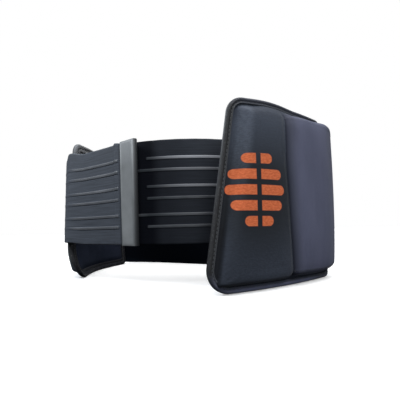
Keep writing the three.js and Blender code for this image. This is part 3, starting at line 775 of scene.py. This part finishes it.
flats = np.stack([run[:, None] + slide, up], -1)
outer, inner = panel_face(centre + thick + hem), panel_face(centre - thick)
panel = shell("satin_back_panel", outer, inner, flats, [satin, backing], 1)
# How far the painted seam shade on the satin reaches in from each sewn end.
reach = 7.5 + 3.5 * step_up(up, 115, 40)
painted_seam_shade = 0.75 * np.exp(-((from_end / reach) ** 2)) + 0.25 * np.exp(-((from_end / 1.6) ** 2))
mark(panel, "sewn", np.tile(painted_seam_shade.ravel(), 2))
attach(panel, "root")
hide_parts("back_panel")
hems = []
for edge, row in (("low", 7), ("top", -8)):
    line = outer[:, row]
    hems.append(sewn_along(f"panel_{edge}_hem_stitches", line, line - inner[:, row], 3.2, 2.4, 0.42))
    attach(hems[-1], "root")

# Under strap: wide woven elastic with six raised glossy ribs in three pairs. It is sewn to the left pad's inner face
# and runs forward round the wearer's front, then on under the outer strap, where only two of its ribs go.
STRAP_LOW, STRAP_WIDTH, STRAP_HALF = 40.6, 100, 1.2
# Each rib's place across the strap, whether it goes on under the outer strap, and how much it gleams, in real gloss and
# painted glint
RIBS = [
    (17.4, False, 0.1), (28.6, True, 0.2), (44.4, False, 0.08), (55.6, False, 0.45),
    (71.4, True, 0.3), (82.6, False, 0.85),
]
RIB_HALF, RIB_RISE = 1.55, 0.5
UNDER_PATH = [
    (None, -58, -75.1), (None, -40, -75.9), (None, -22, -77.3), (None, -5, -78.6), (None, 10.8, -78.2),
    (None, 29, -72.5), (None, 47, -64.3), (None, 66, -52), (None, 83, -36.8), (None, 104, -17.5), (None, 122, -1),
    ("left", 117, -7.8), ("left", 127, -7.2), ("left", 137, -7), ("left", 147, -7),
]

elastic, tree, flat = finish_of(
    "ribbed_elastic",
    {"Sheen Weight": 0.03, "Sheen Roughness": 0.4, "Specular IOR Level": 0.14, "Coat Roughness": 0.3},
)
wale = patterned(tree, weave, flat, 2.6, 1.7)
dye = patterned(tree, flecks, flat, 34.0, 1.5)
shine = patterned(tree, flecks, flat, 60.0, 40.0)
rib, pile_and_shade, polish_and_glint = (
    node(tree, "ShaderNodeAttribute", attribute_name=name).outputs["Fac"] for name in ("rib", "pile_and_shade", "polish_and_glint")
)
# The ground darkens to near black with the pile, and with painted shade.
ground = mixed(tree, pile_and_shade, toned(tree, dye, (59, 63, 70), (75, 80, 89)), (4, 7, 17))
polish_and_glint = sum_of(tree, "ADD", polish_and_glint, ranged(tree, shine, 0.45, 0.7, -0.06, 0.12))
# The ribs' colour lightens with their gleam, partly real gloss and partly painted glint.
bead = mixed(tree, sum_of(tree, "MAXIMUM", polish_and_glint, 0.0), (52, 56, 61), (160, 162, 168))
paint = mixed(tree, ranged(tree, rib, 0.3, 0.9, smooth=True), ground, bead)
rough = sum_of(tree, "MULTIPLY_ADD", pile_and_shade, 0.2, ranged(tree, dye, 0.3, 0.7, 0.55, 0.72))
rough = sum_of(tree, "SUBTRACT", rough, times(tree, rib, 0.3))
dress(tree, paint, rough, wale, 0.2, 0.0003, coat=times(tree, rib, 0.4))

RIB_STEPS = (-1.15, -1, -0.9, -0.75, -0.5, -0.2, 0.2, 0.5, 0.75, 0.9, 1, 1.15)
rib_rows = {round(at + step * RIB_HALF, 3) for at, _, _ in RIBS for step in RIB_STEPS}
even_rows = {row for row in range(2, 99, 2) if all(abs(row - at) >= RIB_HALF * 1.4 for at, _, _ in RIBS)}
STRAP_ROWS = np.array(sorted({0, 0.25, 0.6, 1.2, 98.8, 99.4, 99.75, 100} | even_rows | rib_rows))


def elastic_strap(name, plan, run, outward, ribbed, rubbed_and_glinting, pile_and_shade, hem, shift, lift):
    """A ribbed strap along a line in plan. ribbed(rib) is how far that rib stands up at each place,
    rubbed(polish) how much of that rib's gleam shows there, real gloss with painted glints, and loop how dark
    the ground is there, from the pile and from painted shade."""
    across = STRAP_ROWS
    up = STRAP_LOW + across + lift
    rib, polish_and_glint = np.zeros((2, len(run), len(across)))
    for at, long, polish_and_glint_level in RIBS:
        bead = np.sqrt(np.clip(1 - np.abs((across - at) / RIB_HALF) ** 4, 0, 1))
        rib = np.maximum(rib, ribbed(long)[:, None] * bead)
        polish_and_glint = np.maximum(polish_and_glint, rubbed_and_glinting(polish_and_glint_level)[:, None] * (np.abs(across - at) < 4))
    from_end = np.minimum(run, run[-1] - run)[:, None]
    thick = STRAP_HALF * rounded(np.minimum(across, STRAP_WIDTH - across)[None], 1.2, 0.2) * rounded(from_end, 1.2, 0.2)
    ripple = 0.12 * np.sin(run / 2.4)[:, None] * np.exp(-np.minimum(across, STRAP_WIDTH - across) / 3)

    def face(offset):
        spot = plan[:, None] + outward[:, None] * offset[..., None] + shift
        return np.concatenate([spot, np.broadcast_to(up, offset.shape)[..., None]], -1)

    flats = np.stack(np.broadcast_arrays(run[:, None], across), -1)
    outer = face(thick + RIB_RISE * rib + hem + ripple)
    strap = shell(name, outer, face(-thick + ripple), flats, [elastic])
    mark(strap, "rib", np.concatenate([rib.ravel(), np.zeros(rib.size)]))
    for share, values in (("pile_and_shade", pile_and_shade), ("polish_and_glint", polish_and_glint)):
        mark(strap, share, np.tile(np.broadcast_to(values, rib.shape).ravel(), 2))
    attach(strap, "root")
    return strap, outer, face(-thick + ripple)


def sewn_end(name, face, other, stops):
    """The stitched box that holds a strap's end, between two places along the strap."""
    first, last = sorted(stops)
    between = slice(first, last + 1)
    seams = []
    for i, side in enumerate((first, last, (between, 6), (between, -7))):
        seams.append(sewn_along(f"{name}_stitches_{i + 1}", face[side], face[side] - other[side], 3.0, 2.2, 0.5))
        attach(seams[-1], "root")
    return seams


plan, run, _, outward, _ = stations(UNDER_PATH, 16)
rise = {long: step_up(plan[:, 0] + LOOP_CENTRE[0], start, 2.2) for long, start in ((True, -3), (False, 18.8))}
# The under strap's pile darkens its ground, and painted shade adds to it: the tab's shadow, darkest near the tab and
# fading to the right, with the top band left lighter further right as painted light.
pile_and_painted_shade = 0.53 + 0.29 * (1 - step_up(plan[:, 0], 35, 40)) + 0.25 * (1 - step_up(plan[:, 0], 19, 16))
pile_and_painted_shade = pile_and_painted_shade[:, None] - 0.16 * step_up(STRAP_ROWS, 66, 30) * step_up(plan[:, :1], 19, 16)


# Painted glints on the under strap's ribs grow brighter towards the right pad.
def rubbed_and_glinting(polish_and_glint):
    return 0.06 + polish_and_glint * step_up(plan[:, 0], 20, 40)


under, outer, inner = elastic_strap("under_elastic", plan, run, outward, rise.get, rubbed_and_glinting, pile_and_painted_shade, 0, 0, 0)
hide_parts("under_strap")
seams = sewn_end("under_strap", inner, outer, [np.searchsorted(run, run[-1] - back) for back in (24, 4)])

# Hook patch: a black hook tape between the straps that holds the front closed. It is sewn to the outer strap's
# inner face and hidden but for its edges.
HOOK_LOW, HOOK_TALL = 50.6, 80
HOOK_PATH = [(None, -50, -78.1), (None, -31, -79.2), (None, -12, -80.9)]

hooks, tree, flat = finish_of("hook_tape")
rows = patterned(tree, weave, flat, 1.6, 1.6)
dust = patterned(tree, flecks, flat, 6.0, 6.0)
paint = mixed(tree, ranged(tree, dust, 0.35, 0.75), (22, 22, 24), (38, 38, 41))
dress(tree, paint, ranged(tree, rows, 0.0, 1.0, 0.9, 0.6), rows, 1.0, 0.0008)

plan, run, _, outward, _ = stations(HOOK_PATH, 14)
across = np.concatenate([[0, 0.3, 0.8, 1.6], np.linspace(4, 76, 25), [78.4, 79.2, 79.7, HOOK_TALL]])
from_end = np.minimum(run, run[-1] - run)[:, None]
thick = rounded(np.minimum(across, HOOK_TALL - across)[None], 1.0, 0.3) * rounded(from_end, 1.0, 0.3)
faces = []
for way_out in (1, -1):
    spot = plan[:, None] + outward[:, None] * (way_out * thick)[..., None]
    faces.append(np.concatenate([spot, np.broadcast_to(HOOK_LOW + across, thick.shape)[..., None]], -1))
hook = shell("hook_tape", *faces, np.stack(np.broadcast_arrays(run[:, None], across), -1), [hooks])
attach(hook, "root")
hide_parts("hook_patch")

# Outer strap: the same ribbed elastic, sewn to the right pad's face. It bends round the pad's front edge, leaning with
# it, and closes over the under strap. Its free end is turned in a flat hem, which stands up a little, before the tab.
OUTER_PATH = [
    ("right", 78, 15.2, 0), ("right", 62, 15, 0.02), ("right", 46, 14.2, 0.05), ("right", 33, 12.3, 0.08),
    ("right", 22, 8.8, 0.08), ("right", 11, 4.8, 0.08), (None, -98.5, -79.6, 0.08), (None, -92, -81.2, 0.07),
    (None, -83, -81.2, 0.05), (None, -68, -80.6, 0.02), (None, -50, -80.7, 0), (None, -28, -82.3, 0),
    (None, -7, -84.4, 0), (None, 13.5, -86.36, 0),
]
plan, run, _, outward, (lean,) = stations(OUTER_PATH, 18)
along = plan[:, 0] + LOOP_CENTRE[0]
ribs = (1 - step_up(along, -9.5, 1.8)) * step_up(run, 2, 2) * (1 - 0.65 * step_up(-along, 72, 24))
turned = (0.7 * step_up(along, -15, 0.9) * (1 - step_up(along, -7.4, 0.9)))[:, None]
foot_angle = PAD_PLACES["right"]["angle"]
foot_way = np.array([math.cos(foot_angle), math.sin(foot_angle)])
shift = foot_way * (lean[:, None] * (STRAP_ROWS - STRAP_WIDTH / 2))[..., None]
top, bottom = (STRAP_ROWS / STRAP_WIDTH) ** 6, (1 - STRAP_ROWS / STRAP_WIDTH) ** 6
lift = step_up(-along, 66, 26)[:, None] * (4.5 * top + 2.0 * bottom) - step_up(-along, 93, 10)[:, None] * 7.0 * top
lift = lift + (step_up(along, -16.2, 1.6) * (1 - step_up(along, -14.5, 10)))[:, None] * 1.5 * top
# A thin painted shadow darkens the strap in the gap beside the tab's left edge.
painted_tab_gap_shadow = 0.6 * np.exp(-(((along + 5.2) / 1.3) ** 2))[:, None]
strap, outer, inner = elastic_strap(
    "outer_elastic", plan, run, outward, lambda long: ribs, lambda polish_and_glint: np.full(len(run), 0.2), painted_tab_gap_shadow, turned,
    shift, lift,
)
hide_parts("outer_strap")
seams = sewn_end("outer_strap", outer, inner, [np.searchsorted(run, along_run) for along_run in (4, 24)])

# Pull tab: a stiff grey tape folded over the outer strap's free end and sewn down, so that it shows as a smooth
# upright band with a round fold. Its face has a shallow pressed border and no lettering.
TAB_MIDDLE, TAB_FOLD, TAB_LEAF, TAB_TALL = 0.00205, -0.002, 0.0183, 0.101
TAB_WALL, TAB_BORDER, TAB_PRESSED = 0.0011, 0.0022, 0.00014
bpy.ops.object.select_all(action="DESELECT")
bpy.ops.mesh.primitive_plane_add(
    size=1, location=(TAB_FOLD - TAB_LEAF / 2, -TAB_MIDDLE, TAB_TALL / 2), rotation=(math.radians(90), 0, 0)
)
tab = bpy.context.active_object
tab.name = "pull_tab"
tab.scale = (TAB_LEAF, TAB_TALL, 1)
bpy.ops.object.transform_apply(location=True, rotation=True, scale=True)


def pick(piece, mode, wanted):
    """Selects the edges or faces of a piece whose middle is wanted, and enters edit mode."""
    bpy.ops.object.mode_set(mode="EDIT")
    bpy.ops.mesh.select_mode(type=mode)
    bpy.ops.mesh.select_all(action="DESELECT")
    bpy.ops.object.mode_set(mode="OBJECT")
    points = [vertex.co for vertex in piece.data.vertices]
    for part in piece.data.edges if mode == "EDGE" else piece.data.polygons:
        middle = sum((points[i] for i in part.vertices), points[0] * 0) / len(part.vertices)
        part.select = wanted(middle)
    bpy.ops.object.mode_set(mode="EDIT")


pick(tab, "EDGE", lambda middle: abs(middle.x - TAB_FOLD) < 1e-5 and abs(middle.z - TAB_TALL / 2) < 1e-5)
bpy.ops.mesh.spin(steps=12, angle=-math.pi, center=(TAB_FOLD, 0, 0), axis=(0, 0, 1))
bpy.ops.mesh.extrude_region_move(TRANSFORM_OT_translate={"value": (-TAB_LEAF, 0, 0)})
bpy.ops.mesh.select_all(action="SELECT")
bpy.ops.mesh.remove_doubles(threshold=1e-6)
bpy.ops.mesh.normals_make_consistent(inside=False)
pick(tab, "FACE", lambda middle: abs(middle.y + TAB_MIDDLE) < 1e-5)
bpy.ops.mesh.inset(thickness=TAB_BORDER, depth=0)
bpy.ops.mesh.inset(thickness=0.0006, depth=0)
bpy.ops.transform.translate(value=(0, TAB_PRESSED, 0))
bpy.ops.object.mode_set(mode="OBJECT")
wall = tab.modifiers.new("wall", "SOLIDIFY")
wall.thickness = TAB_WALL
wall.offset = 0
bpy.ops.object.modifier_apply(modifier=wall.name)
soft_edges = tab.modifiers.new("soft_edges", "BEVEL")
soft_edges.width = 0.0003
soft_edges.segments = 2
soft_edges.limit_method = "ANGLE"
soft_edges.angle_limit = math.radians(50)
bpy.ops.object.modifier_apply(modifier=soft_edges.name)
bpy.ops.object.shade_smooth_by_angle(angle=math.radians(40))
tab.rotation_euler = (0, 0, math.atan2(-2.1, 22))
tab.location = (0.0161, -0.09582, 0.0401)
bpy.ops.object.transform_apply(location=True, rotation=True, scale=True)

rubber, tree, _ = finish_of("grey_tab_tape")
spot = node(tree, "ShaderNodeTexCoord").outputs["Object"]
grain = node(tree, "ShaderNodeTexNoise", {"Vector": spot, "Scale": 1400.0, "Detail": 3.0}).outputs[0]
smudge = node(tree, "ShaderNodeTexNoise", {"Vector": spot, "Scale": 55.0, "Detail": 2.0}).outputs[0]
onward, _, upward = parts(tree, spot)
ground = toned(tree, smudge, (108, 111, 113), (123, 126, 128))
# Painted light and shade on the tab: a lighter top, a darker left edge, a darker top edge and a darker fold side on the
# right.
for place, starts, full, share, painted_tone in (
    (upward, 0.118, 0.14, 0.7, (154, 157, 160)),
    (onward, -0.0034, -0.0041, 0.5, (76, 79, 82)),
    (upward, 0.1396, 0.1408, 0.6, (60, 63, 66)),
    (onward, 0.0138, 0.0162, 1.0, (40, 43, 46)),
):
    ground = mixed(tree, ranged(tree, place, starts, full, 0.0, share), ground, painted_tone)
dress(tree, ground, ranged(tree, grain, 0.3, 0.7, 0.5, 0.68), grain, 0.3, 0.0002)
tab.data.materials.append(rubber)
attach(tab, "root")
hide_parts("grip_tab")
